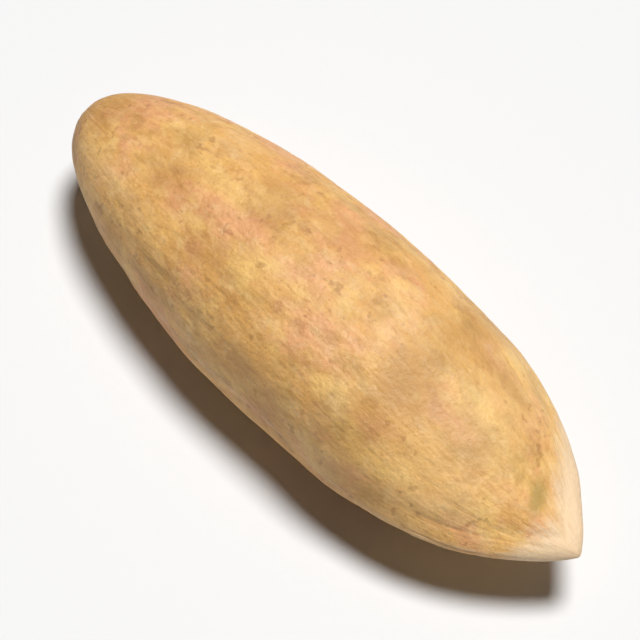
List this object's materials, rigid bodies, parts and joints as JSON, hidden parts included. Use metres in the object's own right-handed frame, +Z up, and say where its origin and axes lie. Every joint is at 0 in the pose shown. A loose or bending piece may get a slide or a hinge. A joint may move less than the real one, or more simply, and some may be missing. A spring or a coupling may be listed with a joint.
{
  "type": "pine nut in shell",
  "caption": "Long, slender pine nut in its closed woody shell, rounded at one end and drawn to a flattened, keeled tip at the other, lying on its broad side.",
  "frame": {"origin": "middle of the box round the nut, at the height of the surface that it lies on", "axes": "+X along the nut towards its tip, +Y across the broad face, +Z up"},
  "size_m": [0.0216, 0.0074, 0.0063],
  "materials": {
    "shell": "matte, dry woody shell"
  },
  "bodies": {
    "root": {"pine_nut": "shell"}
  },
  "joints": []
}
